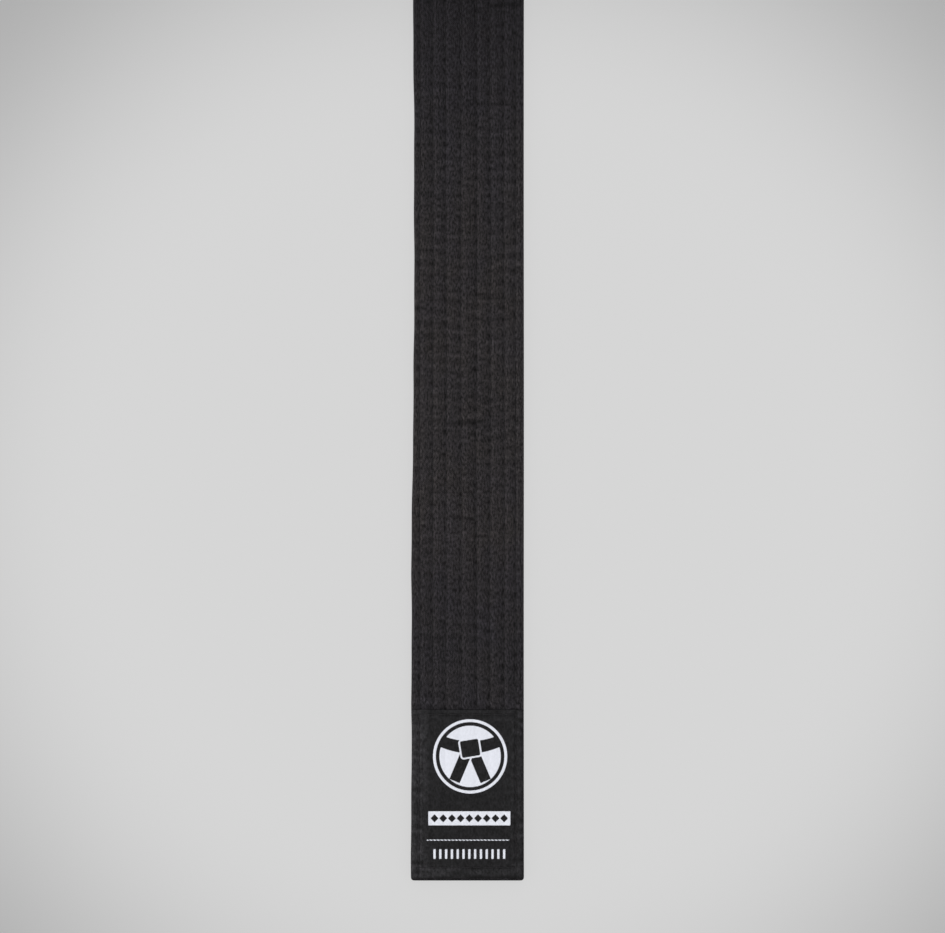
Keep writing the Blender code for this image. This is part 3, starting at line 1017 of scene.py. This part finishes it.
def label_rubbed_and_shadow(s, u):
    """How pale the label's black ground has been rubbed, most along its left hem and its lower hem; it is
    darker along the stitch lines, and a painted shadow darkens its lower edge.
    """
    hem = np.clip((4.8 - label_edge(s, u)) / 1.2, 0, 1)
    left = ramp(-u, 13.5, 1.5)
    low = np.clip((5.4 - s) / 1.0, 0, 1) * (1 - left)
    right = ramp(u, 17.8, 1.5)
    blotches = 1 + 0.16 * hem * (wave_sum(s, u, LONG_WAVES[1]) + wave_sum(s, u, CHANNEL_WAVES[0]))
    stitch_line = np.minimum.reduce(
        [np.abs(np.abs(u) - LABEL_STITCH_SIDE), np.abs(s - LABEL_STITCH_START), np.abs(s - LABEL_STITCH_STOP)]
    )
    # Darker along the stitch lines in the hems, and a painted shadow along the label's lower edge
    dark = 0.45 * bell(stitch_line, 0.45) * hem + 0.9 * bell(s - LABEL_START, 0.8)
    left = left * np.interp(s, RUBBED_AT, RUBBED)
    right = right * (0.4 + 0.35 * wave_sum(s, u, CHANNEL_WAVES[1]))
    return np.clip((1 + left + right + 0.45 * low + 0.2 * hem) * blotches - dark, 0.35, 2.6)


def label_stations(low, high):
    """Mesh lines of the label between two of its borders, close together where the border is rounded."""
    border = np.array([0.0, 0.04, 0.12, 0.25])
    inner = np.arange(low + GRID_MARGIN, high - 0.4, LABEL_GRID)
    return np.concatenate([low + border, inner, high - border[::-1]]), border[-1]


def make_label(material):
    """The woven label: a closed sheet with the pattern standing a little proud of it."""
    across, rounding_reach = label_stations(-LABEL_HALF_WIDTH, LABEL_HALF_WIDTH)
    along, _ = label_stations(LABEL_START, LABEL_STOP)
    s, u = np.meshgrid(along, across, indexing="ij")
    edge = label_edge(s, u)
    rounding = np.sqrt(1 - (1 - ramp(edge, 0.0, rounding_reach)) ** 2)
    motif = label_motif(s, u)
    proud = 0.05 * np.clip(motif / 0.3 + 0.5, 0, 1)
    half = (LABEL_THICKNESS + label_hem(edge)) / 2
    centre = label_surface(s, u) - half
    face = centre + (half + proud) * rounding
    back = centre - half * rounding
    rows, columns = s.shape
    count = rows * columns
    quads = grid_quads(rows, columns, ring=False)
    index = np.arange(count).reshape(rows, columns)
    rim = np.concatenate([index[0, :-1], index[:-1, -1], index[-1, :0:-1], index[:0:-1, 0]])
    following = np.roll(rim, -1)
    faces = quads.tolist() + (quads[:, ::-1] + count).tolist()
    faces += np.stack([rim, rim + count, following + count, following], -1).tolist()
    points = np.concatenate([place(s, u, face).reshape(-1, 3), place(s, u, back).reshape(-1, 3)])
    cloth = np.stack([u, s, np.zeros(u.shape)], -1).reshape(-1, 3)
    rubbed_and_shadow = label_rubbed_and_shadow(s, u).ravel()
    attributes = [
        ("cloth", np.concatenate([cloth, cloth])),
        ("motif", np.concatenate([motif.ravel(), np.full(count, -1.0)])),
        ("rubbed_and_shadow", np.concatenate([rubbed_and_shadow, rubbed_and_shadow])),
    ]
    made = mesh_object("label_weave", points, faces, material, attributes)
    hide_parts("woven_label")
    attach(made, "free_end")
    return made


# ---------------------------------------------------------------- stage


def new_light(name, kind, location, target, energy):
    """A light that shines from a place towards a target, and that the camera doesn't see."""
    data = bpy.data.lights.new(name, kind)
    data.energy = energy
    light = bpy.data.objects.new(name, data)
    light.location = location
    light.rotation_mode = "QUATERNION"
    light.rotation_quaternion = (target - location).to_track_quat("-Z", "Y")
    light.visible_camera = False
    bpy.context.scene.collection.objects.link(light)
    return light


def new_panel(name, offset, centre, energy, size, receivers):
    """A square light that stands off from the centre and lights only some pieces."""
    panel = new_light(name, "AREA", centre + Vector(offset), centre, energy)
    panel.data.shape = "RECTANGLE"
    panel.data.size, panel.data.size_y = size, size
    panel.light_linking.receiver_collection = receivers


def make_floor():
    """A plain pale floor."""
    mesh = bpy.data.meshes.new("floor")
    corners = [(-1, -1), (1, -1), (1, 1), (-1, 1)]
    mesh.from_pydata([(x * FLOOR_REACH, y * FLOOR_REACH, 0) for x, y in corners], [], [(0, 1, 2, 3)])
    floor = bpy.data.objects.new("floor", mesh)
    bpy.context.scene.collection.objects.link(floor)
    material, _, shader = new_material("pale_floor")
    shader.inputs["Base Color"].default_value = PALE_GREY
    shader.inputs["Roughness"].default_value = 1.0
    shader.inputs["Specular IOR Level"].default_value = 0.0
    mesh.materials.append(material)


def make_lights(belt_pieces):
    """Soft light from above with a pool of light round the flat length, and a panel on either side of the
    belt that lights only the belt."""
    world = bpy.data.worlds.new("studio")
    world.use_nodes = True
    world.node_tree.nodes["Background"].inputs["Color"].default_value = (1, 1, 1, 1)
    world.node_tree.nodes["Background"].inputs["Strength"].default_value = 0.12
    bpy.context.scene.world = world

    centre = Vector((0.005, VIEWED_Y * MM - 0.010, 0))
    pool = new_light("pool_light", "SPOT", centre + Vector((0, 0, POOL_HEIGHT)), centre, 113.0)
    pool.data.spot_size = 2 * math.atan(POOL_RADIUS / POOL_HEIGHT)
    pool.data.spot_blend = 0.72
    pool.data.shadow_soft_size = 0.02
    top = new_light("top_light", "SUN", Vector((0, 0, TOP_HEIGHT)), Vector((0, 0, 0)), 1.27)
    top.data.angle = 0.12
    lit = bpy.data.collections.new("lit_from_the_side")
    for piece in belt_pieces:
        lit.objects.link(piece)
    new_panel("side_light", (-5.8, -2.9, 2.7), centre, 600.0, 3.0, lit)
    new_panel("fill_light", (4.2, 3.4, 1.4), centre, 115.0, 2.5, lit)


def make_camera():
    """The camera, straight above the flat length."""
    data = bpy.data.cameras.new("camera")
    data.lens = 120
    data.sensor_width = 36
    camera = bpy.data.objects.new("camera", data)
    camera.location = (CAMERA_X, VIEWED_Y * MM, CAMERA_HEIGHT)
    bpy.context.scene.collection.objects.link(camera)
    bpy.context.scene.camera = camera
    bpy.context.scene.view_settings.view_transform = "Standard"


# ---------------------------------------------------------------- the belt


cotton = cotton_material()
thread = thread_material()
interlining = interlining_material()
satin = label_material()

plies = [make_ply(ply, interlining) for ply in range(PLY_COUNT)]

# The cover's lengths: name, start, stop, whether finely meshed, and the nodes that each stands for
COVERS = [
    ("cover_flat_length", 0.0, FLAT_STOP, True, ["free_end_cover", "lead_cover", "rolled_cover"]),
    ("cover_outer_turn", FLAT_STOP, OUTER_TURN_STOP, True, ["rolled_cover"]),
    ("cover_inner_turns", OUTER_TURN_STOP, LENGTH, False, ["rolled_cover"]),
]
for name, start, stop, fine, replaced in COVERS:
    cover = make_cover(name, start, stop, fine, cotton, replaced)
    if start == 0.0:
        bend(cover)
    else:
        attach(cover, "rolled_length")

for row in range(len(ROWS)):
    make_row_thread(row, 1, thread)
    make_row_thread(row, -1, thread)

label = make_label(satin)

round_label = [
    (LABEL_STITCH_START, LABEL_STITCH_SIDE),
    (LABEL_STITCH_START, -LABEL_STITCH_SIDE),
    (LABEL_STITCH_STOP, -LABEL_STITCH_SIDE),
    (LABEL_STITCH_STOP, LABEL_STITCH_SIDE),
    (LABEL_STITCH_START, LABEL_STITCH_SIDE),
]
make_stitch_line("label_stitch_line", round_label, label_surface, thread, "label_stitching", "free_end")
across_end = [(LENGTH - END_SEAM_INSET, -18.6), (LENGTH - END_SEAM_INSET, 18.4)]
make_stitch_line("inner_end_stitch_line", across_end, face_surface, thread, "inner_end_seam", "rolled_length")

belt_pieces = [piece for piece in bpy.context.scene.objects if piece.type == "MESH" and not piece.hide_render]
make_floor()
make_lights(belt_pieces)
make_camera()
